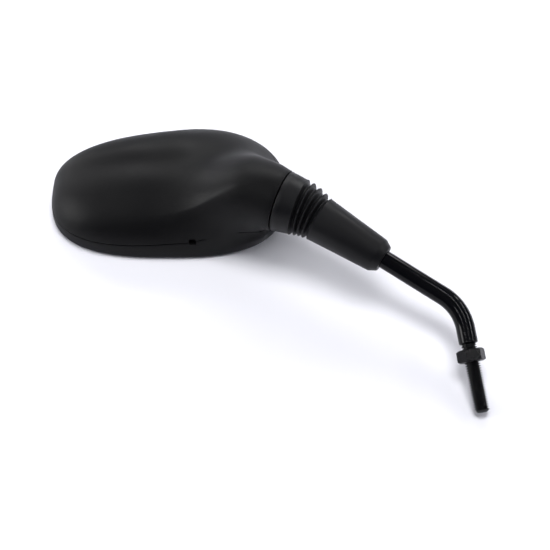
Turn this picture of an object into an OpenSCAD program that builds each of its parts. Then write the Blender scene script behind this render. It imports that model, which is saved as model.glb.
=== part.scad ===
// Motorcycle mirror for the right hand side: a moulded head on a bent steel stem.
// Millimetres. The stud stands on the Z axis with the head above it, the origin is on that axis
// in the underside of the lock nut, and the stem leans along +X, away from the machine.

/* [Stud and stem] */
// Outside radius of the M8 thread, where a stranger screws the mirror in
thread_r = 4; // [3:0.5:5]
// Rise of the thread in one turn
thread_pitch = 1.25; // [0.75:0.25:1.5]
// Length of the free thread below the lock nut
stud_len = 26.5; // [18:0.5:40]
// Chamfer at the tip of the stud
tip_chamfer = 0.8; // [0.3:0.1:1.5]
// Radius of the plain relief between the thread and the shoulder
relief_r = 3.3; // [2.8:0.1:3.6]
// Length of the relief
relief_len = 2.6; // [1:0.1:4]
// Radius of the stem rod
stem_r = 5; // [4:0.5:6.5]
// Chamfer at the shoulder of the stem
shoulder_chamfer = 0.6; // [0.2:0.1:1.2]
// Height of the corner of the bend above the underside of the lock nut
corner_z = 29.3; // [24:0.1:45]
// Angle of the bend
bend_angle = 47; // [20:1:80]
// Radius of the bend, on the middle of the rod
bend_r = 26; // [15:1:40]
// Distance from the corner of the bend to the centre of the ball
ball_reach = 100; // [85:1:140]
// Radius of the narrowed end of the rod, next to the ball
waist_r = 4; // [3.25:0.25:4.5]
// Length of the narrowed end of the rod
waist_len = 14; // [10:1:20]

/* [Lock nut] */
// Width of the lock nut across its flats
nut_flats = 13; // [11:0.5:17]
// Height of the lock nut
nut_h = 6.5; // [4:0.1:8]
// Turn of the lock nut about the stud
nut_turn = 8; // [0:1:60]

/* [Ball joint] */
// Radius of the ball
ball_r = 8; // [7:0.25:9]
// Height of the ball's flat on the stem side, below its centre
ball_flat_low = 6; // [5:0.25:6.5]
// Height of the ball's flat on the head side, above its centre
ball_flat_top = 4.6; // [4:0.1:5.5]
// Radius of the spigot that the ball is pressed on
spigot_r = 2.5; // [2.25:0.25:3]
// Radius of the thread that the ball nut is on
ball_thread_r = 2; // [1.5:0.25:2.5]
// Width of the ball nut across its flats
ball_nut_flats = 7; // [6:0.5:8]
// Height of the ball nut
ball_nut_h = 2.2; // [1.6:0.1:3]
// Thickness of the washer under the ball nut
ball_washer_t = 0.8; // [0.5:0.1:1.2]
// Outside radius of the washer under the ball nut
ball_washer_r = 4.5; // [4:0.1:5]
// Outside radius of the socket tube
tube_r = 11.5; // [10.5:0.1:12]
// Inside radius of the socket tube
tube_bore_r = 9.6; // [9:0.1:10]
// Length of the socket tube on the stem side of the ball's centre
tube_mouth = 6.5; // [6:0.1:8]
// Radius of the opening of the socket tube at its mouth
mouth_r = 7.4; // [6.5:0.1:8]
// Outside radius of the socket tube at its mouth
nose_r = 9.2; // [8.5:0.1:10]
// Distance from the ball's centre to the edge of the round seat in the tube
seat_edge = 4.4; // [3.5:0.1:5]
// Length of the socket tube on the head side of the ball's centre
tube_back = 31; // [26:0.5:36]
// Thickness of the flange of the socket tube
flange_t = 3; // [2:0.5:4]
// Thickness of the ring that holds the tube in the neck
ring_t = 1.1; // [0.8:0.1:1.5]
// Height of the top of the pressure cup above the ball's centre
cup_top = 9.2; // [8.5:0.1:11]
// Radius of the hole in the pressure cup
cup_hole_r = 7; // [6:0.1:7.2]
// Thickness of one disc spring
spring_t = 0.9; // [0.5:0.1:1.2]
// Radius of the hole of a disc spring
spring_hole_r = 5.2; // [4.5:0.1:6]
// Height of the cone of one disc spring
spring_cone = 0.6; // [0.3:0.1:1]
// Number of disc springs
spring_count = 3; // [2:1:4]
// Length of the plug that presses the springs
plug_len = 6; // [4:0.5:8]
// Width across flats of the hexagon socket in the plug
plug_hex = 8; // [6:1:12]

/* [Head] */
// Turn of the head about X, Y and Z, as it lies in the mounted mirror
head_turn = [-67, -9.4, 6.7]; // [-90:0.1:90]
// Height of the centre of the ball behind the plane of the rim
ball_height = 38.5; // [30:0.1:45]
// Turn of the neck away from the length of the head
neck_turn = 23.3; // [0:0.1:45]
// Rise of the neck axis into the head
neck_rise = 2.8; // [-5:0.1:10]
// Distance from the centre of the ball to the face of the neck ring
neck_gap = 12.7; // [10:0.1:18]
// Radius of the neck ring
neck_r = 17.3; // [15:0.1:20]
// Place of the middle of the head from the ball, along the head and across it
head_mid = [73.5, -39.9]; // [-120:0.1:120]
// Height of the widest line of the head above the plane of the rim
waist_z = 2; // [0:0.1:8]
// Half length of the head on the outer side
half_out = 72.2; // [50:0.1:85]
// Half length of the head on the neck side
half_in = 65.9; // [50:0.1:85]
// Half width of the head on the lower side
half_low = 46.3; // [30:0.1:50]
// Half width of the head on the upper side
half_top = 37.1; // [30:0.1:50]
// Share of the upper half width lost in 60 mm towards the outer end
top_taper = 0.25; // [0:0.01:0.4]
// Height of the back above the widest line, in the middle
back_h = 31.5; // [25:0.1:45]
// Share of that height lost in 60 mm towards the outer end
back_taper = 0.04; // [0:0.01:0.2]
// Squareness of the outline at the outer end
power_out = 2.85; // [2:0.1:5]
// Squareness of the outline at the lower corner on the neck side
power_low = 2.65; // [2:0.1:5]
// Squareness of the outline at the upper corner on the neck side
power_top = 2.05; // [2:0.05:5]
// Squareness of the back
power_back = 2.4; // [2:0.05:4]
// Depth of the shallow hollow along the back
hollow_d = 1.1; // [0:0.1:2]
// Length over which the neck runs into the back
neck_blend = 20; // [8:1:24]
// Length of the neck, from its ring, that is still nearly round
neck_run = 7; // [4:0.5:16]
// Wall of the back shell
shell_wall = 2.4; // [1.6:0.1:3.5]
// Height of the joint line above the rim at the outer end
seam_low = 6.5; // [5:0.1:12]
// Height of the joint line above the rim at the neck end
seam_high = 15.5; // [10:0.1:18]

/* [Bezel and glass] */
// Width of the front flange of the bezel
lip_w = 6.4; // [4:0.1:9]
// Distance of the glass pocket from the outline
pocket_in = 4.1; // [3:0.1:6]
// Radius of the curve of the convex glass
glass_curve = 1200; // [800:50:2000]
// Thickness of the glass
glass_t = 2; // [1.5:0.1:3]
// Depth of the middle of the glass behind the plane of the rim
glass_front = 0.9; // [0.5:0.1:2]
// Height of the backing plate above the plane of the rim
plate_z = 6.3; // [6:0.1:7]
// Distance of the backing plate from the outline
plate_in = 3.6; // [2.6:0.1:4]
// Radius of the hole in the middle of the backing plate
plate_hole_r = 12; // [6:1:20]
// Thickness of the backing plate
plate_t = 1.6; // [1:0.1:3]
// Place of the opening slot along the head from the ball
slot_x = 58; // [40:1:80]
// Width of the opening slot in the joint line
slot_w = 4.6; // [3:0.1:8]
// Depth of the opening slot
slot_depth = 1.2; // [0.6:0.1:1.3]
// Height of the opening slot
slot_h = 2; // [1:0.1:3]

/* [Rubber boot] */
// Outside radius of the boot's collar at its open end
collar_r = 17; // [15:0.1:19]
// Outside radius of the collar at the folds
collar_end_r = 15.7; // [14:0.1:18]
// Length of the collar
collar_len = 10; // [7:0.5:14]
// Thickness of the rubber
boot_wall = 2; // [1.2:0.1:3]
// Number of folds
fold_count = 3; // [2:1:5]
// Depth of the valleys between the folds
fold_depth = 2.2; // [1:0.1:3]
// Thickness of the rubber in the folds
fold_wall = 1; // [0.8:0.1:1.4]
// Length of the part with folds
fold_len = 13.5; // [10:0.5:20]
// Outside radius of the sleeve at the folds
sleeve_r = 12.6; // [10:0.1:15]
// Outside radius of the sleeve at its small end
sleeve_end_r = 9.6; // [8:0.1:12]
// Distance from the centre of the ball to the small end of the boot
boot_reach = 52; // [40:0.5:60]
// Length of the chamfer at the small end
boot_chamfer = 4; // [1:0.5:6]
// Radius of the flat end of the boot
boot_face_r = 7.2; // [6:0.1:8]

/* [Hidden] */
// clearances
nut_gap = 0.05;
slide_gap = 0.1;
ball_gap = 0.05;
rubber_gap = 0.05;
pocket_gap = 0.06;
part_gap = 0.1;
// colours
steel_black = [0.07, 0.07, 0.08];
zinc = [0.62, 0.64, 0.66];
plastic_black = [0.14, 0.14, 0.15];
plastic_grey = [0.30, 0.31, 0.33];
acetal = [0.85, 0.85, 0.82];
rubber = [0.10, 0.10, 0.11];
glass = [0.70, 0.78, 0.84];
foam = [0.24, 0.24, 0.25];
// evenness of the meshes
head_cols = 64;
boot_cols = 40;
// the stem above the bend
bend_back = bend_r * tan(bend_angle / 2);
ball_at = [ball_reach * sin(bend_angle), 0, corner_z + ball_reach * cos(bend_angle)];
// the neck, seen from the plane of the rim
neck_dir = [cos(neck_turn) * cos(neck_rise), -sin(neck_turn) * cos(neck_rise), sin(neck_rise)];
neck_side = [-sin(neck_turn), -cos(neck_turn), 0];
neck_down = cross(neck_dir, neck_side);
ball_in_head = [0, 0, ball_height];
ring_mid = ball_in_head + neck_gap * neck_dir;
head_centre = [head_mid.x, head_mid.y, waist_z];
shoulder_in = 12.6;
flange_r = neck_r - shell_wall - 0.3;
ring_bore = tube_r + part_gap;
spigot_len = collar_len - 1.2;
spigot_out = collar_r - boot_wall - rubber_gap;
ring_z = neck_gap - spigot_len - 0.2 - ring_t;
ring_groove = 0.8;
spring_step = spring_t + spring_cone + 0.05;
nut_end = ball_flat_top + ball_washer_t + ball_nut_h;
relief_z = nut_h + 0.4;
shoulder_z = relief_z + relief_len;
first_turn = atan2(ring_mid.y - head_centre.y, ring_mid.x - head_centre.x);
eps = 0.01;
join = 0.3;

// small helpers
function ease(u) = let(v = min(1, max(0, u))) v * v * (3 - 2 * v);
function unit(v) = v / norm(v);
function spin(v, t) = [v.x * cos(t) - v.y * sin(t), v.x * sin(t) + v.y * cos(t), v.z];
function between(a, b, s) =
    let(t = acos(min(1, a * b)))
    t < eps ? a : (a * sin((1 - s) * t) + b * sin(s * t)) / sin(t);

// how far a point is outside the head's outer skin, the skin moved in by d
function outline_power(x, y) = x > 0 ? power_out : (y > 0 ? power_low : power_top);
function hollow(x, y) =
    hollow_d * exp(-pow((y - 2) / 9, 2)) * ease((x + half_in) / 40) * ease((half_out - x) / 45);
function body_out(p, d) =
    let(
        q = p - head_centre,
        n = outline_power(q.x, q.y),
        a = (q.x > 0 ? half_out : half_in) - d,
        b = (q.y > 0 ? half_low : half_top * (1 - top_taper * q.x / 60)) - d,
        c = q.z > 0 ? back_h * (1 - back_taper * q.x / 60) - d - hollow(q.x, q.y) : back_h * 1.3,
        flat = pow(abs(q.x) / a, n) + pow(abs(q.y) / b, n)
    )
    (pow(pow(flat, power_back / n) + pow(abs(q.z) / c, power_back), 1 / power_back) - 1) * half_top * 0.9;
function neck_out(p, d) =
    let(v = p - ring_mid, l = v * neck_dir)
    norm(v - l * neck_dir) - (neck_r - d);
function head_out(p, d) =
    let(
        fb = body_out(p, d),
        fn = neck_out(p, d),
        l = (p - ring_mid) * neck_dir,
        h = max(neck_blend - abs(fb - fn), 0) / neck_blend,
        joined = min(fb, fn) - h * h * neck_blend / 4,
        w = ease(l / neck_run),
        near = min(1, max(0, (60 - l) / 40)),
        f = min(fb, l < 0 ? max(fn, -l) : fn * (1 - w) + joined * w)
    )
    near > 0 ? f * near + fb * (1 - near) : fb;
function reach(dir, d, lo, hi, n) =
    n == 0 ? (lo + hi) / 2 :
    head_out(head_centre + dir * (lo + hi) / 2, d) < 0 ?
        reach(dir, d, (lo + hi) / 2, hi, n - 1) : reach(dir, d, lo, (lo + hi) / 2, n - 1);
function flat_reach(t, lo, hi, n) =
    n == 0 ? (lo + hi) / 2 :
    body_out(head_centre + [cos(t), sin(t), 0] * (lo + hi) / 2, 0) < 0 ?
        flat_reach(t, (lo + hi) / 2, hi, n - 1) : flat_reach(t, lo, (lo + hi) / 2, n - 1);
function on_skin(dir, d) = head_centre + dir * reach(dir, d, 5, 110, 17);

// the outline of the rim, one radius a column
col_turn = [for (j = [0 : head_cols - 1]) first_turn + 360 * j / head_cols];
rim_reach = [for (t = col_turn) flat_reach(t, 5, 110, 17)];
function rim_point(j, d, z) =
    [head_centre.x + (rim_reach[j] - d) * cos(col_turn[j]),
     head_centre.y + (rim_reach[j] - d) * sin(col_turn[j]), z];
function seam_height(j) =
    let(x = rim_reach[j] * cos(col_turn[j]))
    seam_low + (seam_high - seam_low) * (1 - ease((x + half_in) / (half_in + half_out)));
function rise_at(j, z) = atan((z - waist_z) / rim_reach[j]);
function aim(j, rise) = [cos(col_turn[j]) * cos(rise), sin(col_turn[j]) * cos(rise), sin(rise)];
function ring_point(j, r, l) =
    let(t = 360 * j / head_cols)
    ring_mid + l * neck_dir + r * (cos(t) * neck_down + sin(t) * neck_side);

// a closed tube-like surface from a list of closed rows
module ring_mesh(rows) {
    n = len(rows);
    k = len(rows[0]);
    polyhedron(
        points = [for (r = rows) each r],
        faces = [for (i = [0 : n - 1]) for (j = [0 : k - 1])
            let(
                a = i * k + j,
                b = i * k + (j + 1) % k,
                c = ((i + 1) % n) * k + (j + 1) % k,
                d = ((i + 1) % n) * k + j
            )
            each [[a, b, c], [a, c, d]]]
    );
}

// frames
module at_ball() {
    translate(ball_at) rotate([0, bend_angle, 0]) children();
}
module in_head() {
    translate(ball_at) rotate(head_turn) translate([0, 0, -ball_height]) children();
}
module in_neck() {
    in_head() translate(ball_in_head) rotate([0, 90 - neck_rise, -neck_turn]) children();
}

// Which node is drawn

// The steel rod: threaded stud, relief, shoulder, bend, and the spigot for the ball
module stem() {
    color(steel_black) {
        rotate_extrude($fn = 64)
            polygon([[0, -stud_len], [thread_r - tip_chamfer, -stud_len], [thread_r, -stud_len + tip_chamfer],
                [thread_r, 0], [relief_r, 0], [relief_r, thread_pitch], [thread_r, thread_pitch],
                [thread_r, relief_z], [relief_r, relief_z], [relief_r, shoulder_z],
                [stem_r - shoulder_chamfer, shoulder_z], [stem_r, shoulder_z + shoulder_chamfer],
                [stem_r, corner_z - bend_back + join], [0, corner_z - bend_back + join]]);
        translate([bend_r, 0, corner_z - bend_back]) rotate([90, 0, 0]) rotate([0, 0, 180 - bend_angle])
            rotate_extrude(angle = bend_angle, $fn = 96) translate([bend_r, 0]) circle(stem_r - eps, $fn = 64);
        at_ball() rotate_extrude($fn = 64)
            polygon([[0, bend_back - ball_reach - join], [stem_r, bend_back - ball_reach - join],
                [stem_r, -ball_flat_low - waist_len], [waist_r, -ball_flat_low - waist_len + 1.5],
                [waist_r, -ball_flat_low], [spigot_r, -ball_flat_low], [spigot_r, ball_flat_top - 0.3],
                [ball_thread_r, ball_flat_top], [ball_thread_r, nut_end], [ball_thread_r - 0.4, nut_end + 0.4],
                [0, nut_end + 0.4]]);
    }
}

// A plain hexagon nut with both ends chamfered to a circle
module hex_nut(flats, h, bore) {
    corner = flats / sqrt(3);
    drop = (corner - flats / 2 + 0.2) * tan(30);
    difference() {
        intersection() {
            cylinder(r = corner, h = h, $fn = 6);
            rotate_extrude($fn = 64)
                polygon([[0, 0], [flats / 2 - 0.2, 0], [corner, drop], [corner, h - drop],
                    [flats / 2 - 0.2, h], [0, h]]);
        }
        rotate_extrude($fn = 64)
            polygon([[0, -1], [bore + 0.4, -1], [bore + 0.4, 0], [bore, 0.4], [bore, h - 0.4],
                [bore + 0.4, h], [bore + 0.4, h + 1], [0, h + 1]]);
    }
}

module lock_nut() {
    color(steel_black) rotate(nut_turn) hex_nut(nut_flats, nut_h, thread_r + nut_gap);
}

// The ball on the end of the stem
module stem_ball() {
    color(zinc) at_ball() difference() {
        intersection() {
            sphere(ball_r, $fn = 96);
            translate([0, 0, -ball_flat_low]) cylinder(r = 2 * ball_r, h = ball_flat_low + ball_flat_top, $fn = 64);
        }
        cylinder(r = spigot_r + ball_gap, h = 4 * ball_r, center = true, $fn = 64);
    }
}

module ball_washer() {
    color(zinc) at_ball() translate([0, 0, ball_flat_top + eps]) difference() {
        cylinder(r = ball_washer_r, h = ball_washer_t - 2 * eps, $fn = 64);
        translate([0, 0, -1]) cylinder(r = ball_thread_r + slide_gap, h = 3 * ball_washer_t, $fn = 64);
    }
}

module ball_nut() {
    color(zinc) at_ball() translate([0, 0, ball_flat_top + ball_washer_t])
        hex_nut(ball_nut_flats, ball_nut_h, ball_thread_r + nut_gap);
}

// The moulded tube that carries the ball, with a round seat at its mouth and a flange in the head
module socket_tube() {
    seat_r = ball_r + ball_gap;
    flange_z = neck_gap + shoulder_in + 0.05;
    groove_z = ring_z - 0.1;
    groove_end = ring_z + ring_t + 0.1;
    color(plastic_grey) in_neck() difference() {
        rotate_extrude($fn = 96)
            polygon([[0, -tube_mouth], [nose_r, -tube_mouth], [tube_r, 1], [tube_r, groove_z],
                [tube_r - ring_groove, groove_z], [tube_r - ring_groove, groove_end], [tube_r, groove_end],
                [tube_r, flange_z], [flange_r, flange_z], [flange_r, flange_z + flange_t],
                [tube_r, flange_z + flange_t], [tube_r, tube_back], [0, tube_back]]);
        sphere(seat_r, $fn = 96);
        rotate_extrude($fn = 96)
            polygon([[0, -tube_mouth - 1], [mouth_r, -tube_mouth - 1], [mouth_r, -tube_mouth],
                [sqrt(seat_r * seat_r - seat_edge * seat_edge), -seat_edge], [0, -seat_edge]]);
        cylinder(r = tube_bore_r, h = tube_back + 1, $fn = 96);
    }
}

// Split spring ring in the groove of the tube, against the end of the shell's neck
module retaining_ring() {
    color(zinc) in_neck() translate([0, 0, ring_z]) difference() {
        cylinder(r = tube_r + 0.9, h = ring_t, $fn = 96);
        translate([0, 0, -1]) cylinder(r = tube_r - ring_groove + 0.05, h = ring_t + 2, $fn = 96);
        translate([0, tube_r, ring_t / 2]) cube([5, 6, 2 * ring_t], center = true);
    }
}

// The cup between the ball and the disc springs
module pressure_cup() {
    color(acetal) in_neck() difference() {
        translate([0, 0, 1]) cylinder(r = tube_bore_r - slide_gap, h = cup_top - 1, $fn = 96);
        sphere(ball_r + ball_gap, $fn = 96);
        cylinder(r = cup_hole_r, h = 3 * cup_top, $fn = 96);
    }
}

// One of the disc springs, each the other way round from the one under it
module disc_spring(i) {
    edge_r = tube_bore_r - 0.3;
    low = i % 2 == 1 ? 0 : spring_cone;
    high = spring_cone - low;
    color(zinc) in_neck() translate([0, 0, cup_top + 0.05 + (i - 1) * spring_step])
        rotate_extrude($fn = 96)
            polygon([[edge_r, low], [edge_r, low + spring_t], [spring_hole_r, high + spring_t],
                [spring_hole_r, high]]);
}

// The plug that is screwed into the tube to load the springs
module preload_plug() {
    z = cup_top + 0.05 + spring_count * spring_step;
    color(zinc) in_neck() difference() {
        translate([0, 0, z]) rotate_extrude($fn = 96)
            polygon([[0, 0], [tube_bore_r - 0.6, 0], [tube_bore_r - nut_gap, 0.6],
                [tube_bore_r - nut_gap, plug_len - 0.6], [tube_bore_r - 0.6, plug_len], [0, plug_len]]);
        translate([0, 0, z + 2]) cylinder(r = plug_hex / sqrt(3), h = plug_len, $fn = 6);
    }
}

// The boot: its collar follows the neck and its sleeve follows the stem, with the folds between
neck_x = [neck_dir.x, neck_dir.y * cos(head_turn.x) - neck_dir.z * sin(head_turn.x),
    neck_dir.y * sin(head_turn.x) + neck_dir.z * cos(head_turn.x)];
neck_y = [neck_x.x * cos(head_turn.y) + neck_x.z * sin(head_turn.y), neck_x.y,
    neck_x.z * cos(head_turn.y) - neck_x.x * sin(head_turn.y)];
neck_out_dir = spin(neck_y, head_turn.z);
neck_in_stem = [neck_out_dir.x * cos(bend_angle) - neck_out_dir.z * sin(bend_angle), neck_out_dir.y,
    neck_out_dir.x * sin(bend_angle) + neck_out_dir.z * cos(bend_angle)];
rest_bend = acos(neck_in_stem.z);
bend_dir = atan2(neck_in_stem.y, neck_in_stem.x);
fold_top = neck_gap - 0.4 - collar_len;
fold_end = fold_top - fold_len;
function boot_share(z) = ease((z - fold_end) / fold_len);
function boot_ring(z, r) =
    let(b = rest_bend * boot_share(z))
    [for (j = [0 : boot_cols - 1])
        let(
            t = 360 * j / boot_cols - bend_dir,
            x = r * cos(t),
            y = r * sin(t)
        )
        spin([x * cos(b) + z * sin(b), y, -x * sin(b) + z * cos(b)], bend_dir)];
function fold_line(u) = collar_end_r + (sleeve_r - collar_end_r) * u;
function fold_r(u) =
    fold_line(u) - fold_depth * pow(abs(sin(180 * (fold_count + 1) * u)), 1.8) + (u > 0 && u < 1 ? 0.25 : 0);
steps_per_fold = 6;
fold_steps = (fold_count + 1) * steps_per_fold;
module rubber_boot() {
    top = neck_gap - 0.4;
    inner_z = -boot_reach + 14;
    outer = [[top, collar_r - 0.5], [top - 0.5, collar_r], [top - collar_len * 0.5, (collar_r + collar_end_r) / 2],
        [fold_top + 0.6, collar_end_r],
        for (i = [0 : fold_steps]) [fold_top - fold_len * i / fold_steps, fold_r(i / fold_steps)],
        [-boot_reach + boot_chamfer + 1, sleeve_end_r + 0.1], [-boot_reach + boot_chamfer, sleeve_end_r],
        [-boot_reach + 0.8, boot_face_r + 0.6], [-boot_reach, boot_face_r]];
    inner = [[-boot_reach, stem_r + rubber_gap], [inner_z, stem_r + rubber_gap], [inner_z + 4, stem_r + 1.5],
        for (i = [fold_steps : -2 : 0])
            [fold_top - fold_len * i / fold_steps, fold_line(i / fold_steps) - fold_depth - fold_wall],
        [fold_top + 1.2, spigot_out + rubber_gap], [top, spigot_out + rubber_gap]];
    color(rubber) at_ball() ring_mesh([for (p = concat(outer, inner)) boot_ring(p[0], p[1])]);
}

// The back shell, from the joint line up over the back and out along the neck
module back_shell() {
    skin_rows = 26;
    lining_rows = 16;
    rebate_in = 1.25;
    cols = [0 : head_cols - 1];
    rise = [for (j = cols) rise_at(j, seam_height(j))];
    step = [for (j = cols) rise_at(j, seam_height(j) + 2)];
    start = [for (j = cols) unit(ring_point(j, neck_r, 0) - head_centre)];
    back = [for (j = cols) unit(ring_point(j, neck_r - shell_wall, shoulder_in) - head_centre)];
    rows = concat(
        [[for (j = cols) ring_point(j, neck_r - 0.5, 0)], [for (j = cols) ring_point(j, neck_r, 0.5)]],
        [for (i = [1 : skin_rows]) [for (j = cols) on_skin(between(start[j], aim(j, rise[j]), i / skin_rows), 0)]],
        [[for (j = cols) on_skin(aim(j, rise[j]), rebate_in)],
         [for (j = cols) on_skin(aim(j, step[j]), rebate_in)],
         [for (j = cols) on_skin(aim(j, step[j]), shell_wall)]],
        [for (i = [lining_rows - 1 : -1 : 1])
            [for (j = cols) on_skin(between(back[j], aim(j, step[j]), i / lining_rows), shell_wall)]],
        [[for (j = cols) ring_point(j, neck_r - shell_wall, shoulder_in)],
         [for (j = cols) ring_point(j, ring_bore, shoulder_in)],
         [for (j = cols) ring_point(j, ring_bore, -spigot_len)],
         [for (j = cols) ring_point(j, spigot_out, -spigot_len)],
         [for (j = cols) ring_point(j, spigot_out, 0)]]
    );
    color(plastic_black) in_head() ring_mesh(rows);
}

// The front bezel, from the joint line down to the rim and in to the glass
module front_bezel() {
    cols = [0 : head_cols - 1];
    seam = [for (j = cols) seam_height(j)];
    tongue_in = 1.35;
    wall_in = 2.5;
    function skin(j, z, d) = on_skin(aim(j, rise_at(j, z)), d);
    function lip_z(p) = glass_front - part_gap + pow(norm([p.x, p.y] - head_mid), 2) / (2 * glass_curve);
    function lip_point(j, d) = let(p = rim_point(j, d, 0)) [p.x, p.y, lip_z(p)];
    rows = [
        [for (j = cols) skin(j, seam[j] - 0.25, 0)],
        [for (j = cols) skin(j, waist_z + (seam[j] - waist_z) * 0.5, 0)],
        [for (j = cols) rim_point(j, 0, waist_z)],
        [for (j = cols) rim_point(j, 0.3, 0.9)],
        [for (j = cols) rim_point(j, 0.9, 0.25)],
        [for (j = cols) rim_point(j, 1.9, 0)],
        [for (j = cols) rim_point(j, lip_w - 0.5, 0)],
        [for (j = cols) rim_point(j, lip_w, 0.3)],
        [for (j = cols) lip_point(j, lip_w)],
        [for (j = cols) lip_point(j, pocket_in)],
        [for (j = cols) rim_point(j, pocket_in, plate_z - 0.1)],
        [for (j = cols) rim_point(j, wall_in + 0.3, plate_z - 0.1)],
        [for (j = cols) skin(j, plate_z + 0.6, wall_in + 0.1)],
        [for (j = cols) skin(j, seam[j] + 1.8, wall_in)],
        [for (j = cols) skin(j, seam[j] + 1.8, tongue_in)],
        [for (j = cols) skin(j, seam[j] - 0.05, tongue_in)],
        [for (j = cols) skin(j, seam[j] - 0.1, 0.3)]
    ];
    slot_turn = atan2(half_low, slot_x - head_centre.x);
    slot_col = round((slot_turn - first_turn + 360) * head_cols / 360) % head_cols;
    slot_at = on_skin(aim(slot_col, rise_at(slot_col, seam_height(slot_col))), 0);
    color(plastic_black) in_head() difference() {
        ring_mesh([for (i = [len(rows) - 1 : -1 : 0]) rows[i]]);
        translate(slot_at - [slot_w / 2, slot_depth, slot_h]) cube([slot_w, 4, slot_h + 3]);
    }
}

module rim_plate(d, z, h) {
    translate([0, 0, z]) linear_extrude(h)
        polygon([for (j = [0 : head_cols - 1]) let(p = rim_point(j, d, 0)) [p.x, p.y]]);
}

// a ball so large that its skin is the curve of the glass
module glass_ball(inset) {
    translate([head_mid.x, head_mid.y, glass_front + glass_curve]) sphere(glass_curve - inset, $fn = 600);
}

module backing_plate() {
    color(plastic_grey) in_head() difference() {
        rim_plate(plate_in, plate_z, plate_t);
        translate([head_mid.x, head_mid.y, plate_z - 1]) cylinder(r = plate_hole_r, h = plate_t + 2, $fn = 64);
    }
}

// The soft pad between the glass and the backing plate, its front turned to the curve of the glass
module foam_pad() {
    front = glass_front + glass_t + 0.05;
    ring_step = 5;
    color(foam) in_head() intersection() {
        rim_plate(pocket_in + 3, 1, plate_z - 1 - 0.05);
        translate([head_mid.x, head_mid.y, front]) rotate_extrude($fn = 128)
            polygon([[0, 8], for (r = [0 : ring_step : 90]) [r, r * r / (2 * glass_curve)], [90, 8]]);
    }
}

module glass_gasket() {
    color(rubber) in_head() difference() {
        rim_plate(pocket_in + pocket_gap, 2.7, 2.8);
        rim_plate(pocket_in + 0.8, 1, 8);
    }
}

module mirror_glass() {
    color(glass) in_head() difference() {
        intersection() {
            rim_plate(pocket_in + 0.85, 0, plate_z);
            glass_ball(0);
        }
        glass_ball(glass_t);
    }
}

stem();
lock_nut();
stem_ball();
ball_washer();
ball_nut();
socket_tube();
retaining_ring();
pressure_cup();
disc_spring(1);  // disc_spring_1
disc_spring(2);  // disc_spring_2
disc_spring(3);  // disc_spring_3
preload_plug();
rubber_boot();
back_shell();
front_bezel();
backing_plate();
foam_pad();
glass_gasket();
mirror_glass();
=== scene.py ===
# %% [markdown]
# # A motorcycle mirror, from solids to a studio picture
# The mirror is a hollow black head on a bent steel stem, with a folded rubber boot between them.
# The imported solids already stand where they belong, so this lesson only dresses them: it rebuilds
# the pieces whose skin shows at a finer step, gives each piece its real finish, and lights them.

import math

import bpy
import numpy as np
from mathutils import Euler, Matrix, Vector


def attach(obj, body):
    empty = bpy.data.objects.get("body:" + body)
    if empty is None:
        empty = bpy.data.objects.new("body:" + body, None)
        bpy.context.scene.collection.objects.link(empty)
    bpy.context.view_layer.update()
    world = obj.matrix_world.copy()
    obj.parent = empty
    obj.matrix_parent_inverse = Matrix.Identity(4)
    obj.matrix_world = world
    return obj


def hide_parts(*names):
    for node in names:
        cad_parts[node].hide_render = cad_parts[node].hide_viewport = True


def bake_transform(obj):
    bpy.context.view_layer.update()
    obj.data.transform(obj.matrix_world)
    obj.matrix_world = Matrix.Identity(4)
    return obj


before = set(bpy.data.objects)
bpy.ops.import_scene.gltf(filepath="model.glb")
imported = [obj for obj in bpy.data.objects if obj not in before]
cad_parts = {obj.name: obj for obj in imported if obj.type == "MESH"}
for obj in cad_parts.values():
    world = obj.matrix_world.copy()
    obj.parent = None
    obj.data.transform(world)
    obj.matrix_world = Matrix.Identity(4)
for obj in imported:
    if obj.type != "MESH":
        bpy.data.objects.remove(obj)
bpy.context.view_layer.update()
mm = 0.001

# %% [markdown]
# ## The two places that everything hangs on
# The stem stands on the Z axis and is bent once. The ball on its upper end is where the head turns,
# so the boot is drawn in a frame with its Z along the upper stem, and the head in a frame whose
# XY plane is the plane of the rim. Both frames come from the same sizes as the solids.

# %% Frames
bend_angle, bend_r, corner_z, ball_reach = 47.0, 26.0, 29.3, 100.0
bend_back = bend_r * math.tan(math.radians(bend_angle / 2))
lean = math.radians(bend_angle)
ball_at = Vector((ball_reach * math.sin(lean), 0, corner_z + ball_reach * math.cos(lean)))
head_turn = [math.radians(a) for a in (-67, -9.4, 6.7)]
ball_height = 38.5

at_ball = Matrix.Translation(ball_at) @ Matrix.Rotation(lean, 4, "Y")
in_head = (
    Matrix.Translation(ball_at)
    @ Euler(head_turn, "XYZ").to_matrix().to_4x4()
    @ Matrix.Translation((0, 0, -ball_height))
)


def placed(points, matrix):
    """Points in millimetres in one of the frames, as metres in the row frame."""
    m = np.array(matrix)
    return (np.asarray(points) @ m[:3, :3].T + m[:3, 3]) * mm


print("ball at", [round(v, 2) for v in ball_at], "mm")

# %% [markdown]
# ## A closed skin from rows
# Head, bezel and boot are all like a tyre: rows of points that go round the opening, the last row
# joined to the first. One helper turns such rows into a closed mesh whose faces point outwards.


# %% Rows to mesh
moulded_sharp, boot_sharp, rod_sharp = 35, 50, 40


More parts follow.
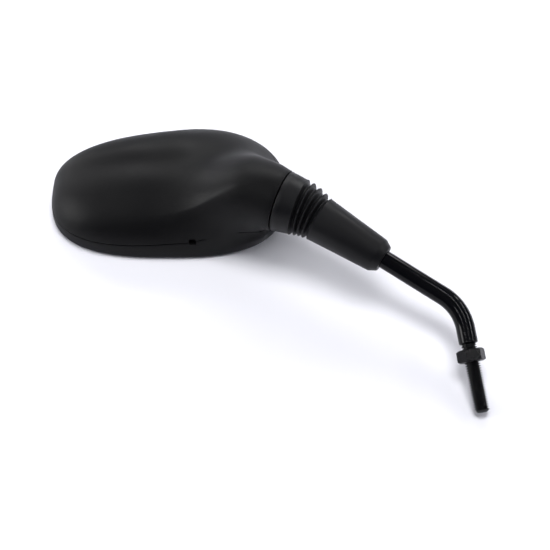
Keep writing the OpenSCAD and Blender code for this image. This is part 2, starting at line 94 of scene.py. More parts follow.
def skin_from_rows(name, rows, matrix, sharp=moulded_sharp):
    rows = placed(np.array(rows), matrix)
    n, k = rows.shape[:2]
    i, j = np.meshgrid(np.arange(n), np.arange(k), indexing="ij")
    up, over = (i + 1) % n, (j + 1) % k
    quads = np.stack([i * k + j, up * k + j, up * k + over, i * k + over], -1).reshape(-1, 4)
    p = rows.reshape(-1, 3)
    a, b, c, d = (p[quads[:, s]] for s in range(4))
    volume = (np.cross(b, c) * a).sum() + (np.cross(c, d) * a).sum()
    if volume < 0:
        quads = quads[:, ::-1]
    mesh = bpy.data.meshes.new(name)
    mesh.from_pydata(p.tolist(), [], quads.tolist())
    mesh.shade_smooth()
    mesh.set_sharp_from_angle(angle=math.radians(sharp))
    piece = bpy.data.objects.new(name, mesh)
    bpy.context.scene.collection.objects.link(piece)
    print(name, len(quads) * 2, "triangles,", round(abs(volume) / 6 * 1e6, 1), "cm3")
    return piece


# %% [markdown]
# ## The moulded head
# The real head is one smooth moulding: a squared oval that swells back from the rim, with a shallow
# hollow along it, and a round neck that runs into it. It could be sculpted, but a rule is easier to
# keep the same as the solids: a function that says how far a point is outside the skin. The skin is
# then found along rays from the middle of the head by halving.
#
# The neck sinks and widens as it runs into the shell, so that it flows in without a step. On its
# back it draws in instead, because there it would stand out of the solids' box.

# %% The rule of the head
neck_turn, neck_rise, neck_gap, neck_r = math.radians(23.3), math.radians(2.8), 12.7, 17.3
head_centre = np.array([73.5, -39.9, 2.0])
half_out, half_in, half_low, half_top, top_taper = 72.2, 65.9, 46.3, 37.1, 0.25
back_h, back_taper, taper_over, under_h = 31.5, 0.04, 60.0, 1.3
hollow_d, hollow_y, hollow_half, hollow_in, hollow_out = 1.1, 2.0, 9.0, 40.0, 45.0
neck_run, neck_sink, neck_flare, blend_low, blend_top = 7.0, 0.0095, 0.12, 20.0, 30.0
back_pinch, fade_end, fade_len, reach_mm = 2.2, 80.0, 60.0, 0.9 * half_top
power_out, power_low, power_top, power_back = 2.85, 2.65, 2.05, 2.4
neck_dir = np.array([
    math.cos(neck_turn) * math.cos(neck_rise),
    -math.sin(neck_turn) * math.cos(neck_rise),
    math.sin(neck_rise),
])
neck_side = np.array([-math.sin(neck_turn), -math.cos(neck_turn), 0])
neck_down = np.cross(neck_dir, neck_side)
ring_mid = np.array([0, 0, ball_height]) + neck_gap * neck_dir


def ease(u):
    u = np.clip(u, 0, 1)
    return u * u * (3 - 2 * u)


def body_out(p, inset):
    x, y, z = np.moveaxis(p - head_centre, -1, 0)
    power = np.where(x > 0, power_out, np.where(y > 0, power_low, power_top))
    a = np.where(x > 0, half_out, half_in) - inset
    b = np.where(y > 0, half_low, half_top * (1 - top_taper * x / taper_over)) - inset
    hollow = hollow_d * np.exp(-(((y - hollow_y) / hollow_half) ** 2))
    hollow = hollow * ease((x + half_in) / hollow_in) * ease((half_out - x) / hollow_out)
    above = back_h * (1 - back_taper * x / taper_over) - inset - hollow
    c = np.where(z > 0, above, back_h * under_h)
    flat = (np.abs(x) / a) ** power + (np.abs(y) / b) ** power
    reach = (flat ** (power_back / power) + (np.abs(z) / c) ** power_back) ** (1 / power_back)
    return (reach - 1) * reach_mm


def head_out(p, inset):
    body = body_out(p, inset)
    v = p - ring_mid
    along = v @ neck_dir
    past = np.maximum(along, 0)
    v = v + neck_sink * (past**2)[..., None] * np.array([0, 0, 1])
    neck = np.linalg.norm(v - (v @ neck_dir)[..., None] * neck_dir, axis=-1)
    flare = neck_flare * (1 - back_pinch * np.clip(v[..., 1] / neck_r, 0, 1))
    neck = neck - (neck_r - inset) - flare * past
    neck_blend = blend_low + (blend_top - blend_low) * ease((v @ neck_side / neck_r + 1) / 2)
    h = np.maximum(neck_blend - np.abs(body - neck), 0) / neck_blend
    joined = np.minimum(body, neck) - h * h * neck_blend / 4
    w = ease(along / neck_run)
    near = ease((fade_end - along) / fade_len)
    bridge = np.where(along < 0, np.maximum(neck, -along), neck * (1 - w) + joined * w)
    mixed = np.minimum(body, bridge)
    return np.where(near > 0, mixed * near + body * (1 - near), body)


ray_from, ray_to, halvings = 5.0, 110.0, 20


def on_skin(directions, inset, rule=head_out):
    """Where rays from the middle of the head meet its skin, moved in by inset."""
    low = np.full(directions.shape[:-1], ray_from)
    high = np.full(directions.shape[:-1], ray_to)
    for _ in range(halvings):
        middle = (low + high) / 2
        inside = rule(head_centre + directions * middle[..., None], inset) < 0
        low, high = np.where(inside, middle, low), np.where(inside, high, middle)
    return head_centre + directions * ((low + high) / 2)[..., None]


print("neck ring centre in the rim frame", ring_mid.round(2))

# %% [markdown]
# ## The rim and the joint line
# Shell and bezel meet on a line that climbs from the outer end to the neck, and climbs once more
# beside the neck. Every column of points knows its direction in the plane of the rim and the height
# of that line.

# %% Columns round the head
columns = 256
first_turn = math.atan2(*(ring_mid - head_centre)[1::-1])
turns = first_turn + 2 * math.pi * np.arange(columns) / columns
flat_way = np.stack([np.cos(turns), np.sin(turns), np.zeros(columns)], -1)
rim_reach = np.linalg.norm(on_skin(flat_way, 0, body_out) - head_centre, axis=-1)
waist_z = head_centre[2]
seam_low, seam_high, seam_curve = 9.0, 20.0, 1.6
climb, climb_at, climb_half = 5.0, math.radians(25), math.radians(12)
inward = (half_out - rim_reach * np.cos(turns)) / (half_in + half_out)
seam = seam_low + (seam_high - seam_low) * np.clip(inward, 0, 1) ** seam_curve
from_neck = np.abs((turns - first_turn + math.pi) % (2 * math.pi) - math.pi)
seam = seam + climb * np.exp(-(((from_neck - climb_at) / climb_half) ** 2))


def aim(height):
    """Directions from the middle of the head to a height above the rim, one for each column."""
    rise = np.arctan((height - waist_z) / rim_reach)[:, None]
    return flat_way * np.cos(rise) + np.array([0, 0, 1]) * np.sin(rise)


def rim_point(inset, height):
    p = head_centre + flat_way * (rim_reach - inset)[:, None]
    p[:, 2] = height
    return p


def neck_ring(radius, along):
    t = (2 * math.pi * np.arange(columns) / columns)[:, None]
    return ring_mid + along * neck_dir + radius * (np.cos(t) * neck_down + np.sin(t) * neck_side)


def unit(v):
    return v / np.linalg.norm(v, axis=-1, keepdims=True)


def between(a, b, share):
    """A direction part of the way from a to b, on the arc between them."""
    t = np.arccos(np.clip((a * b).sum(-1, keepdims=True), -1, 1))
    s = np.maximum(np.sin(t), 1e-9)
    return np.where(t < 1e-5, a, (a * np.sin((1 - share) * t) + b * np.sin(share * t)) / s)


print("joint line from", round(seam.min(), 1), "to", round(seam.max(), 1), "mm above the rim")

# %% [markdown]
# ## Back shell
# The shell is about 2.4 mm thick, so it has a skin, a rebate for the bezel's tongue, a lining, and
# a spigot that goes under the rubber boot. Its lower edge is broken by a small radius, because a
# moulded edge is never quite sharp and that thin light line is what the eye reads as a joint.

# %% Build the back shell
shell_wall, rebate_in, shoulder_in, ring_bore = 2.4, 1.25, 12.6, 11.6
collar_r, boot_wall, rubber_gap, collar_len = 17.0, 2.0, 0.05, 10.0
spigot_out, spigot_len = collar_r - boot_wall - rubber_gap, collar_len - 1.2


def shell_rows(outer_steps=110, inner_steps=40):
    ring = unit(neck_ring(neck_r, 0.5) - head_centre)
    inner_ring = unit(neck_ring(neck_r - shell_wall, shoulder_in) - head_centre)
    edge, step = aim(seam), aim(seam + 2)
    rows = [neck_ring(neck_r - 0.5, 0), neck_ring(neck_r - 0.15, 0.1), neck_ring(neck_r, 0.4)]
    rows += [
        on_skin(between(ring, aim(seam + 0.3), i / outer_steps), 0)
        for i in range(1, outer_steps + 1)
    ]
    rows += [on_skin(aim(seam + 0.09), 0.09), on_skin(edge, 0.3)]
    rows += [on_skin(edge, rebate_in), on_skin(step, rebate_in), on_skin(step, shell_wall)]
    rows += [
        on_skin(between(inner_ring, step, i / inner_steps), shell_wall)
        for i in range(inner_steps - 1, 0, -1)
    ]
    rows += [neck_ring(neck_r - shell_wall, shoulder_in), neck_ring(ring_bore, shoulder_in)]
    rows += [neck_ring(ring_bore, -spigot_len), neck_ring(spigot_out, -spigot_len)]
    rows += [neck_ring(spigot_out, 0)]
    return rows


shell = skin_from_rows("back_shell_skin", shell_rows(), in_head)

# %% [markdown]
# ## Front bezel
# The bezel closes the shell from the joint line down to the rim and turns in over the glass. The
# opening slot is a real notch across both pieces, cut with a Boolean, because a painted one would
# vanish from the side.

# %% Build the front bezel
lip_w, pocket_in, plate_z, wall_in, tongue_in = 6.4, 4.1, 6.3, 2.5, 1.35
glass_front, glass_curve, part_gap = 0.9, 1200.0, 0.1


def lip_row(inset):
    p = rim_point(inset, 0)
    from_middle = ((p[:, :2] - head_centre[:2]) ** 2).sum(-1)
    p[:, 2] = glass_front - part_gap + from_middle / (2 * glass_curve)
    return p


def bezel_rows(outer_steps=14):
    top, bottom = seam - 0.25, waist_z
    rows = [on_skin(aim(top), 0.35), on_skin(aim(top - 0.05), 0.12)]
    rows += [
        on_skin(aim(top - 0.3 + (bottom - top + 0.3) * i / outer_steps), 0)
        for i in range(outer_steps)
    ]
    rows += [rim_point(0, waist_z), rim_point(0.1, 1.35), rim_point(0.35, 0.8)]
    rows += [rim_point(0.75, 0.37), rim_point(1.25, 0.1), rim_point(1.9, 0)]
    rows += [rim_point(lip_w - 0.6, 0)]
    rows += [rim_point(lip_w - 0.2, 0.08), rim_point(lip_w, 0.3)]
    rows += [lip_row(lip_w), lip_row(pocket_in), rim_point(pocket_in, plate_z - 0.1)]
    rows += [rim_point(wall_in + 0.3, plate_z - 0.1)]
    rows += [on_skin(aim(plate_z + 0.6), wall_in + 0.1)]
    rows += [on_skin(aim(seam + 1.8), wall_in), on_skin(aim(seam + 1.8), tongue_in)]
    rows += [on_skin(aim(seam - 0.05), tongue_in)]
    return rows


bezel = skin_from_rows("front_bezel_skin", bezel_rows(), in_head)

# %% Cut the opening slot
slot_x, slot_w, slot_depth, slot_h, slot_past = 60.2, 3.9, 2.1, 1.9, 4
slot_turn = math.atan2(half_low, slot_x - head_centre[0])
slot_column = round((slot_turn - first_turn) / (2 * math.pi) * columns) % columns
slot_at = on_skin(aim(seam), 0)[slot_column]


def box_piece(name, corner, size, matrix):
    corners = [[corner[a] + size[a] * ((c >> a) & 1) for a in range(3)] for c in range(8)]
    mesh = bpy.data.meshes.new(name)
    faces = [(0, 2, 3, 1), (4, 5, 7, 6), (0, 1, 5, 4), (2, 6, 7, 3), (0, 4, 6, 2), (1, 3, 7, 5)]
    mesh.from_pydata(placed(corners, matrix).tolist(), [], faces)
    piece = bpy.data.objects.new(name, mesh)
    bpy.context.scene.collection.objects.link(piece)
    return piece


def made_plain(piece):
    """The piece with its modifiers applied, as a plain mesh at the origin."""
    bpy.context.view_layer.update()
    seen = piece.evaluated_get(bpy.context.evaluated_depsgraph_get())
    mesh = bpy.data.meshes.new_from_object(seen)
    piece.modifiers.clear()
    piece.data = mesh
    return piece


slot_tool = box_piece(
    "slot_tool",
    slot_at - np.array([slot_w / 2, slot_depth, slot_h]),
    [slot_w, slot_past, 2 * slot_h],
    in_head,
)
for piece in (shell, bezel):
    cut = piece.modifiers.new("opening slot", "BOOLEAN")
    cut.operation, cut.object, cut.solver = "DIFFERENCE", slot_tool, "EXACT"
    made_plain(piece).data.set_sharp_from_angle(angle=math.radians(moulded_sharp))
bpy.data.objects.remove(slot_tool)
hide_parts("back_shell")
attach(shell, "head")
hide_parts("front_bezel")
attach(bezel, "head")
print("slot at", slot_at.round(1), "bezel faces", len(bezel.data.polygons))

# %% [markdown]
# ## Rubber boot
# A boot is moulded on a steel core, so it is a turned shape: a collar, three soft folds between
# deep grooves, and a tapered sleeve. Here it also follows the small bend between stem and neck. It
# is built as a collar and a sleeve that meet in the first groove, because the ball joint is two
# hinges after the roll and a piece can only be blended across one hinge.

# %% The boot's profile
boot_cols, groove_power, crest_proud = 128, 1.8, 0.25
collar_end_r, fold_count, fold_depth, fold_wall, fold_len = 15.7, 3, 2.2, 1.0, 13.5
sleeve_r, sleeve_end_r, boot_reach, boot_chamfer, boot_face_r = 12.6, 9.6, 52.0, 4.0, 7.2
stem_r = 5.0
fold_top = neck_gap - 0.4 - collar_len
fold_end = fold_top - fold_len
neck_in_stem = np.array(at_ball.inverted().to_3x3() @ in_head.to_3x3() @ Vector(neck_dir))
rest_bend = math.acos(neck_in_stem[2])
bend_dir = math.atan2(neck_in_stem[1], neck_in_stem[0])


def boot_ring(z, r):
    """One round row of the boot, turned part of the way from the stem to the neck."""
    b = rest_bend * float(ease((z - fold_end) / fold_len))
    t = 2 * math.pi * np.arange(boot_cols) / boot_cols - bend_dir
    x, y = r * np.cos(t), r * np.sin(t)
    x, z = x * math.cos(b) + z * math.sin(b), z * math.cos(b) - x * math.sin(b)
    c, s = math.cos(bend_dir), math.sin(bend_dir)
    return np.stack([x * c - y * s, x * s + y * c, z + 0 * x], -1)


def fold_line(u):
    return collar_end_r + (sleeve_r - collar_end_r) * u


def fold_skin(u):
    groove = abs(math.sin(math.pi * (fold_count + 1) * u)) ** groove_power
    return fold_line(u) - fold_depth * groove + (crest_proud if 0 < u < 1 else 0)


def fold_rows(u0, u1, steps):
    """Profile points (height, radius) of the folded skin between two shares of its length."""
    shares = [u0 + (u1 - u0) * i / steps for i in range(steps + 1)]
    return [(fold_top - fold_len * u, fold_skin(u)) for u in shares]


def fold_lining(u0, u1, steps):
    shares = [u1 + (u0 - u1) * i / steps for i in range(steps + 1)]
    return [(fold_top - fold_len * u, fold_line(u) - fold_depth - fold_wall) for u in shares]


split = 1 / (2 * (fold_count + 1))
top = neck_gap - 0.4
lip = boot_reach - boot_chamfer
inner_z = 14 - boot_reach
collar_profile = (
    [(top, collar_r - 0.7), (top - 0.15, collar_r - 0.25), (top - 0.6, collar_r)]
    + [(top - collar_len * s, collar_r + (collar_end_r - collar_r) * s) for s in (0.3, 0.6)]
    + [(fold_top + 0.7, collar_end_r)]
    + fold_rows(0, split, 14)
    + fold_lining(0, split, 4)
    + [(fold_top + 1.2, spigot_out + rubber_gap), (top, spigot_out + rubber_gap)]
)
sleeve_profile = (
    fold_rows(split, 1, 98)
    + [(fold_end - 0.8, sleeve_r - 0.02)]
    + [
        (fold_end + (-lip - fold_end) * s, sleeve_r + (sleeve_end_r - sleeve_r) * s)
        for s in (0.3, 0.6)
    ]
    + [(-lip + 0.5, sleeve_end_r + 0.06), (-lip, sleeve_end_r - 0.05)]
    + [(-lip - 0.6, sleeve_end_r - 0.35)]
    + [(-boot_reach + 0.9, boot_face_r + 0.6), (-boot_reach + 0.3, boot_face_r + 0.25)]
    + [(-boot_reach, boot_face_r - 0.1), (-boot_reach, stem_r + rubber_gap)]
    + [(inner_z, stem_r + rubber_gap), (inner_z + 4, stem_r + 1.5)]
    + fold_lining(split, 1, 24)
)

# %% Build the boot
def boot_piece(name, profile):
    return skin_from_rows(name, [boot_ring(z, r) for z, r in profile], at_ball, boot_sharp)


boot_collar = boot_piece("boot_collar", collar_profile)
boot_sleeve = boot_piece("boot_sleeve", sleeve_profile)


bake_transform(boot_collar)
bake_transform(boot_sleeve)
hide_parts("rubber_boot")
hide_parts("rubber_boot")
print("boot bends", round(math.degrees(rest_bend), 1), "degrees at rest")

# %% [markdown]
# ## Stem
# The real stem is one rod: rolled thread, relief, shoulder, bend. Geometry Nodes make it the same
# way: a curve carries the rod's radius at each point, Curve to Mesh sweeps a circle along it, and
# the thread is then cut by a rule. On a screw the depth depends on height minus turn, so every
# point is pulled in towards the axis by a saw-tooth of that difference.

# %% The stem's path
thread_r, pitch, stud_len, relief_r, relief_z = 4.0, 1.25, 26.5, 3.5, 8.6
shoulder_z, waist_r, flat_low, flat_top, spigot_r = 9.5, 4.0, 6.0, 4.6, 2.5
ball_thread_r, nut_end = 2.0, 7.6
thread_depth, crest_share, root_share, rod_sides = 0.95, 0.28, 0.74, 96


def stem_path():
    """Points (x, z, radius) along the rod, from the tip of the stud to the ball."""
    path = [(0, -stud_len, thread_r - 1.7), (0, -stud_len + 0.25, thread_r - 1.3)]
    steps = 330
    start, end = -stud_len + 1.3, relief_z
    path += [(0, start + (end - start) * i / steps, thread_r) for i in range(steps + 1)]
    path += [(0, relief_z + 0.35, relief_r), (0, shoulder_z - 0.2, relief_r)]
    path += [(0, shoulder_z, relief_r + 0.25), (0, shoulder_z + 0.02, stem_r - 0.6)]
    path += [(0, shoulder_z + 0.3, stem_r - 0.25), (0, shoulder_z + 0.7, stem_r)]
    low = corner_z - bend_back
    straight = shoulder_z + 0.8
    path += [(0, straight + (low - 0.5 - straight) * i / 6, stem_r) for i in range(7)]
    bends = 48
    for i in range(bends + 1):
        a = lean * i / bends
        path.append((bend_r * (1 - math.cos(a)), low + bend_r * math.sin(a), stem_r))

    def up(s, r):
        return (ball_at.x + s * math.sin(lean), ball_at.z + s * math.cos(lean), r)

    begin, end = bend_back - ball_reach, -flat_low - 14
    path += [up(begin + (end - begin) * i / 20, stem_r) for i in range(1, 21)]
    path += [up(end + 1.5, waist_r), up(-flat_low, waist_r), up(-flat_low + 0.02, spigot_r)]
    path += [up(flat_top - 0.3, spigot_r), up(flat_top, ball_thread_r)]
    path += [up(nut_end, ball_thread_r), up(nut_end + 0.4, ball_thread_r - 0.4)]
    return path


rod_curve = bpy.data.curves.new("stem_path", "CURVE")
rod_curve.dimensions = "3D"
spline = rod_curve.splines.new("POLY")
path = stem_path()
spline.points.add(len(path) - 1)
for point, (x, z, r) in zip(spline.points, path):
    point.co = (x * mm, 0, z * mm, 1)
    point.radius = r * mm
print("stem path has", len(path), "points")


# %% One helper for nodes
def add(tree, kind, settings=None, inputs=None):
    """A node of that kind with its settings; inputs are numbers, colours or sockets to link."""
    n = tree.nodes.new(kind)
    for name, value in (settings or {}).items():
        setattr(n, name, value)
    for name, value in (inputs or {}).items():
        socket = n.inputs[name]
        if isinstance(value, bpy.types.NodeSocket):
            tree.links.new(value, socket)
        else:
            socket.default_value = value
    return n


def maths(tree, operation, *values):
    """The result of one Math node."""
    return add(tree, "ShaderNodeMath", {"operation": operation}, dict(enumerate(values))).outputs[0]


# %% The tree that sweeps the rod and cuts its thread
def threaded_rod_tree():
    tree = bpy.data.node_groups.new("Threaded rod", "GeometryNodeTree")
    face = tree.interface
    face.new_socket("Path", in_out="INPUT", socket_type="NodeSocketGeometry")
    for name in ("Thread radius", "Thread depth", "Pitch", "Lower end", "Upper end"):
        face.new_socket(name, in_out="INPUT", socket_type="NodeSocketFloat")
    face.new_socket("Sides", in_out="INPUT", socket_type="NodeSocketInt")
    face.new_socket("Finish", in_out="INPUT", socket_type="NodeSocketMaterial")
    face.new_socket("Rod", in_out="OUTPUT", socket_type="NodeSocketGeometry")
    given = add(tree, "NodeGroupInput").outputs
    ring = add(
        tree, "GeometryNodeCurvePrimitiveCircle", None,
        {"Resolution": given["Sides"], "Radius": 1.0},
    )
    swept = add(
        tree, "GeometryNodeCurveToMesh", None,
        {"Curve": given["Path"], "Profile Curve": ring.outputs["Curve"], "Fill Caps": True,
         "Scale": add(tree, "GeometryNodeInputRadius").outputs[0]},
    )
    place = add(tree, "GeometryNodeInputPosition").outputs[0]
    xyz = add(tree, "ShaderNodeSeparateXYZ", None, {0: place}).outputs
    turn = maths(tree, "DIVIDE", maths(tree, "ARCTAN2", xyz[1], xyz[0]), 2 * math.pi)
    phase = maths(tree, "SUBTRACT", maths(tree, "DIVIDE", xyz[2], given["Pitch"]), turn)
    swing = maths(tree, "MULTIPLY_ADD", maths(tree, "FRACT", phase), 2.0, -1.0)
    tooth = maths(tree, "ABSOLUTE", swing)
    flank = add(
        tree, "ShaderNodeMapRange", {"clamp": True},
        {"Value": tooth, "From Min": crest_share, "From Max": root_share},
    ).outputs[0]
    cut = maths(tree, "MULTIPLY", flank, given["Thread depth"])
    cut_r = maths(tree, "SUBTRACT", given["Thread radius"], cut)
    squares = [maths(tree, "POWER", xyz[axis], 2.0) for axis in (0, 1)]
    radius = maths(tree, "MAXIMUM", maths(tree, "SQRT", maths(tree, "ADD", *squares)), 1e-6)
    shrink = maths(tree, "MINIMUM", maths(tree, "DIVIDE", cut_r, radius), 1.0)
    above = maths(tree, "GREATER_THAN", xyz[2], given["Lower end"])
    below = maths(tree, "LESS_THAN", xyz[2], given["Upper end"])
    threaded = maths(tree, "MULTIPLY", above, below)
    x, y = (maths(tree, "MULTIPLY", xyz[axis], shrink) for axis in (0, 1))
    new_place = add(tree, "ShaderNodeCombineXYZ", None, {0: x, 1: y, 2: xyz[2]}).outputs[0]
    moved = add(
        tree, "GeometryNodeSetPosition", None,
        {"Geometry": swept.outputs[0], "Selection": threaded, "Position": new_place},
    )
    smooth = add(tree, "GeometryNodeSetShadeSmooth", None, {"Geometry": moved.outputs[0]})
    real = add(tree, "GeometryNodeRealizeInstances", None, {"Geometry": smooth.outputs[0]})
    painted = add(
        tree, "GeometryNodeSetMaterial", None,
        {"Geometry": real.outputs[0], "Material": given["Finish"]},
    )
    out = add(tree, "NodeGroupOutput")
    tree.links.new(painted.outputs[0], out.inputs[0])
    return tree


# %% [markdown]
# ## Finishes
# Each finish starts from the real material. Nothing moulded or painted is one flat colour, so each
# has a slow change in colour, a finer change in gloss, and a grain or orange peel as bump. All
# patterns read Object coordinates, which are metres here, so a pattern scale is one over its size.


# %% Colour helper and a start for each finish
def srgb(code):
    """A hex colour as the linear values that the shader wants."""
    parts = [int(code[i : i + 2], 16) / 255 for i in (1, 3, 5)]
    return [c / 12.92 if c <= 0.04045 else ((c + 0.055) / 1.055) ** 2.4 for c in parts] + [1.0]


def finish(name, dark, light, patch_mm, rough, grain_mm, grain_depth_mm, **shader):
    """A material whose colour drifts between two hex colours in patches, with a bump grain."""
    material = bpy.data.materials.new(name)
    material.use_nodes = True
    tree = material.node_tree
    tree.nodes.clear()
    where = add(tree, "ShaderNodeTexCoord").outputs["Object"]
    patches = add(
        tree, "ShaderNodeTexNoise", None, {"Vector": where, "Scale": 1000 / patch_mm, "Detail": 3.0}
    ).outputs["Fac"]
    colour = add(
        tree, "ShaderNodeMix", {"data_type": "RGBA"},
        {"Factor": patches, 6: srgb(dark), 7: srgb(light)},
    ).outputs[2]
    gloss = add(
        tree, "ShaderNodeMapRange", None,
        {"Value": patches, "From Min": 0.3, "From Max": 0.7,
         "To Min": rough[0], "To Max": rough[1]},
    ).outputs[0]
    grain = add(
        tree, "ShaderNodeTexNoise", None, {"Vector": where, "Scale": 1000 / grain_mm, "Detail": 2.0}
    ).outputs["Fac"]
    bump = add(
        tree, "ShaderNodeBump", None,
        {"Height": grain, "Distance": grain_depth_mm * mm, "Strength": 1.0},
    ).outputs[0]
    surface = add(
        tree, "ShaderNodeBsdfPrincipled", None,
        {"Base Color": colour, "Roughness": gloss, "Normal": bump, **shader},
    )
    out = add(tree, "ShaderNodeOutputMaterial")
    tree.links.new(surface.outputs[0], out.inputs["Surface"])
    return material


def dress(piece, material):
    piece.data.materials.clear()
    piece.data.materials.append(material)
    return piece


# %% The finishes themselves
# Glass-filled nylon or PP from a spark-eroded mould: matt, with a grain of about half a millimetre
moulded_black = finish(
    "grained black polypropylene", "#050506", "#090909", 25, (0.44, 0.54), 0.6, 0.05,
    **{"Specular IOR Level": 0.13},
)
# Moulded EPDM rubber: darker and duller than the plastic, with a little bloom in patches
boot_rubber = finish(
    "moulded EPDM rubber", "#060607", "#0a0a0b", 9, (0.4, 0.53), 0.4, 0.012,
    **{"Specular IOR Level": 0.22},
)
# Stoved gloss enamel on the rod: a hard gloss with slow orange peel
gloss_enamel = finish(
    "stoved black enamel", "#040405", "#070708", 15, (0.1, 0.16), 2.2, 0.004,
    **{"Specular IOR Level": 0.16},
)
# Zinc plate passivated black, on the nut: satin metal
black_zinc = finish(
    "black passivated zinc", "#060607", "#0a0a0b", 4, (0.22, 0.32), 0.5, 0.006,
    **{"Specular IOR Level": 0.13},
)
# Bright zinc plate on the small steel pieces inside the joint
bright_zinc = finish(
    "bright zinc plate", "#9a9da1", "#b4b6b8", 5, (0.25, 0.4), 0.4, 0.006, Metallic=1.0
)
# Grey glass-filled nylon of the tube and the backing plate
grey_nylon = finish(
    "glass-filled nylon", "#3a3c40", "#46484c", 8, (0.45, 0.6), 0.5, 0.012, IOR=1.53
)
# White acetal of the pressure cup
white_acetal = finish("turned acetal", "#cfcdc6", "#dcdad4", 6, (0.3, 0.4), 0.6, 0.004, IOR=1.48)
# Open-cell polyurethane foam behind the glass
black_foam = finish("polyurethane foam", "#232324", "#323234", 2, (0.85, 0.95), 0.8, 0.15, IOR=1.4)
# Silvered glass: the silver is what shows, with a very slight haze
silvered_glass = finish(
    "silvered glass", "#dfe3e4", "#e6e9ea", 40, (0.02, 0.04), 60, 0.0005, Metallic=1.0
)
for piece in (shell, bezel):
    dress(piece, moulded_black)
for piece in (boot_collar, boot_sleeve):
    dress(piece, boot_rubber)
print("finishes:", len(bpy.data.materials))

# %% Sweep the stem
stem_piece = bpy.data.objects.new("stem_rod", bpy.data.meshes.new("stem_rod"))
bpy.context.scene.collection.objects.link(stem_piece)
path_object = bpy.data.objects.new("stem_path", rod_curve)
bpy.context.scene.collection.objects.link(path_object)
tree = threaded_rod_tree()
sweep = path_object.modifiers.new("threaded rod", "NODES")
sweep.node_group = tree
stem_inputs = {
    "Thread radius": thread_r * mm, "Thread depth": thread_depth * mm, "Pitch": pitch * mm,
    "Lower end": -(stud_len + 1) * mm, "Upper end": relief_z * mm,
    "Sides": rod_sides, "Finish": gloss_enamel,
}
for item in tree.interface.items_tree:
    if item.in_out == "INPUT" and item.name in stem_inputs:
        sweep[item.identifier] = stem_inputs[item.name]
bpy.context.view_layer.update()
swept = path_object.evaluated_get(bpy.context.evaluated_depsgraph_get())
stem_piece.data = bpy.data.meshes.new_from_object(swept)
stem_piece.data.set_sharp_from_angle(angle=math.radians(rod_sharp))
bpy.data.objects.remove(path_object)
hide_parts("stem")
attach(stem_piece, "stem_side")
low_z = min(v.co.z for v in stem_piece.data.vertices) / mm
print("stem rod", len(stem_piece.data.polygons), "faces, tip at", round(low_z, 2), "mm")

# %% [markdown]
# ## The pieces that stay as packed
# The nut, the glass and what is inside the head and the joint are exact already, so they only get
# their finish. The four solids that the finer pieces stand for get the same finish as those.

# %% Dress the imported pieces
packed_finish = {
    "lock_nut": black_zinc,
    "stem_ball": bright_zinc, "ball_washer": bright_zinc, "ball_nut": bright_zinc,
    "retaining_ring": bright_zinc, "disc_spring_1": bright_zinc, "disc_spring_2": bright_zinc,
    "disc_spring_3": bright_zinc, "preload_plug": bright_zinc,
    "socket_tube": grey_nylon, "backing_plate": grey_nylon,
    "pressure_cup": white_acetal, "foam_pad": black_foam,
    "glass_gasket": boot_rubber, "mirror_glass": silvered_glass,
    "stem": gloss_enamel, "rubber_boot": boot_rubber,
    "back_shell": moulded_black, "front_bezel": moulded_black,
}
for name, material in packed_finish.items():
    dress(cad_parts[name], material)

# %% [markdown]
# ## The table, the light and the camera
# In the photograph the mirror lies on a white table on the tip of its stud and the rim of its head.
# The solids stand upright on the stud instead, so the table, lamps and camera are placed in a frame
# of their own: its XY plane is the table, Y runs away from the camera and the origin is the point
# that the camera looks at.

# %% The table's frame
look_x, look_y = 14.9, 17.4
flip = Matrix(((-1, 0, 0, look_x), (0, -1, 0, look_y), (0, 0, 1, 0), (0, 0, 0, 1)))
scale = Matrix.Scale(mm, 4)
table_frame = scale @ in_head @ flip @ scale.inverted()


def on_table(name, data, place, target=(0, 0, 0)):
    """An object at a place in the table's frame, in metres, that looks at a target there."""
    thing = bpy.data.objects.new(name, data)
    bpy.context.scene.collection.objects.link(thing)
    back = (Vector(place) - Vector(target)).normalized()
    side = Vector((0, 1, 0)).cross(back).normalized() if abs(back.y) < 0.999 else Vector((1, 0, 0))
    up = back.cross(side)
    turn = Matrix((side, up, back)).transposed().to_4x4()
    thing.matrix_world = table_frame @ Matrix.Translation(place) @ turn
    return thing


elevation, distance, focal_px = math.radians(56), 0.6, 1065
picture_px, sensor_mm = 550, 36
eye = Vector((0, -distance * math.cos(elevation), distance * math.sin(elevation)))
camera_data = bpy.data.cameras.new("camera")
camera_data.sensor_width = sensor_mm
camera_data.lens = focal_px / picture_px * sensor_mm
camera_data.clip_end = 50
back = eye.normalized()
side = Vector((1, 0, 0))
camera = bpy.data.objects.new("camera", camera_data)
bpy.context.scene.collection.objects.link(camera)
camera_turn = Matrix((side, back.cross(side), back)).transposed().to_4x4()
camera.matrix_world = table_frame @ Matrix.Translation(eye) @ camera_turn
bpy.context.scene.camera = camera
print("camera at", [round(v, 3) for v in camera.matrix_world.translation])
print("lens", round(camera_data.lens, 1), "mm")

# %% [markdown]
# The table is white and one-sided, so that a view from below still shows the glass. The glass lies
# a millimetre above it and would only mirror it, so short reflections see through the table too.
# The table is bright enough to clip to white, and only the shadow under the head and boot stays
# grey.

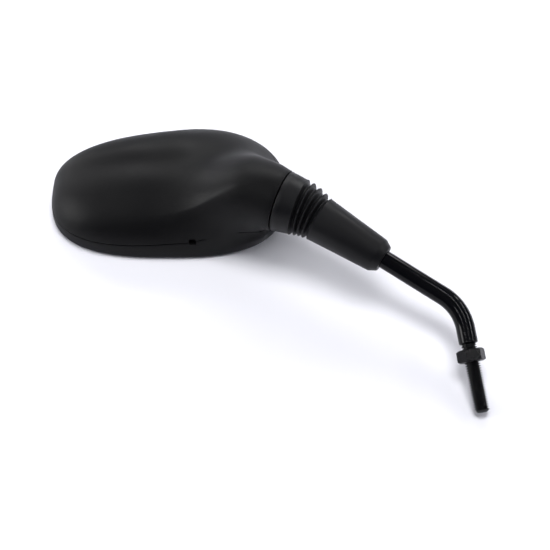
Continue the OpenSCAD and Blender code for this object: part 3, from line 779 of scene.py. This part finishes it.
# %% Table
table_mesh = bpy.data.meshes.new("table")
half, below, glass_reach, paper_glow = 2.0, -0.0003, 0.008, 0.02
corners = [(x * half, y * half, below) for x, y in ((-1, -1), (1, -1), (1, 1), (-1, 1))]
table_mesh.from_pydata(corners, [], [(0, 1, 2, 3)])
table_top = bpy.data.objects.new("table", table_mesh)
bpy.context.scene.collection.objects.link(table_top)
table_top.matrix_world = table_frame
paper = bpy.data.materials.new("white table")
paper.use_nodes = True
tree = paper.node_tree
tree.nodes.clear()
white = add(tree, "ShaderNodeBsdfDiffuse", None, {"Color": srgb("#c6c6cb")})
ray = add(tree, "ShaderNodeLightPath").outputs
seen_white = maths(tree, "MULTIPLY", ray["Is Camera Ray"], paper_glow)
glow = add(tree, "ShaderNodeEmission", None, {"Color": srgb("#ffffff"), "Strength": seen_white})
both = add(tree, "ShaderNodeAddShader", None, {0: white.outputs[0], 1: glow.outputs[0]})
clear = add(tree, "ShaderNodeBsdfTransparent")
from_glass = maths(
    tree, "MULTIPLY", ray["Is Glossy Ray"], maths(tree, "LESS_THAN", ray["Ray Length"], glass_reach)
)
side_seen = add(tree, "ShaderNodeNewGeometry").outputs["Backfacing"]
see_through = maths(tree, "MAXIMUM", side_seen, from_glass)
sheet = add(
    tree, "ShaderNodeMixShader", None, {0: see_through, 1: both.outputs[0], 2: clear.outputs[0]}
)
out = add(tree, "ShaderNodeOutputMaterial")
tree.links.new(sheet.outputs[0], out.inputs["Surface"])
table_mesh.materials.append(paper)

# %% [markdown]
# Three softboxes give the broad light and the soft shadow. The overhead one is kept out of
# reflections, so that the flank of the head stays black. A low strip behind draws the light edge
# along the top, and three thin strips draw the lines on the gloss rod. The world is dim above the
# table and light below it, which is what the glass shows.

# %% Lamps and world
lamp_target, level_below, level_above = (0.02, 0.02, 0.02), 0.75, 0.1
lamps = []
for name, place, size, power in (
    ("overhead softbox", (0.05, 0.12, 1.3), (0.6, 0.5), 17.5),
    ("back softbox", (0.1, 1.25, 0.85), (1.5, 0.35), 16),
    ("top edge strip", (-0.95, 1.0, 0.36), (1.0, 0.14), 5.0),
    ("left softbox", (-1.0, 0.0, 0.35), (0.5, 0.6), 7.5),
    ("right strip", (0.9, 0.2, 0.6), (0.012, 1.0), 3.6),
    ("left strip", (-0.45, -0.15, 0.9), (0.008, 0.9), 1.8),
    ("middle strip", (0.3, -0.2, 0.9), (0.006, 0.9), 1.6),
):
    lamp = bpy.data.lights.new(name, "AREA")
    lamp.shape, (lamp.size, lamp.size_y), lamp.energy = "RECTANGLE", size, power
    lamps.append(on_table(name, lamp, place, lamp_target))
lamps[0].visible_glossy = False
world = bpy.data.worlds.new("studio")
bpy.context.scene.world = world
world.use_nodes = True
tree = world.node_tree
tree.nodes.clear()
ray = add(tree, "ShaderNodeLightPath").outputs
table_up = (table_frame.to_3x3() @ Vector((0, 0, 1))).normalized()
way = add(tree, "ShaderNodeTexCoord").outputs["Generated"]
rise = add(
    tree, "ShaderNodeVectorMath", {"operation": "DOT_PRODUCT"}, {0: way, 1: table_up}
).outputs["Value"]
around = add(
    tree, "ShaderNodeMapRange", None,
    {"Value": rise, "From Min": -0.4, "From Max": -0.05,
     "To Min": level_below, "To Max": level_above},
).outputs[0]
level = maths(tree, "MAXIMUM", ray["Is Camera Ray"], around)
tint = add(
    tree, "ShaderNodeMix", {"data_type": "RGBA"},
    {"Factor": level, 6: srgb("#b4c0ff"), 7: srgb("#ffffff")},
).outputs[2]
sky = add(tree, "ShaderNodeBackground", None, {"Color": tint, "Strength": level})
out = add(tree, "ShaderNodeOutputWorld")
tree.links.new(sky.outputs[0], out.inputs["Surface"])
bpy.context.scene.view_settings.view_transform = "Standard"
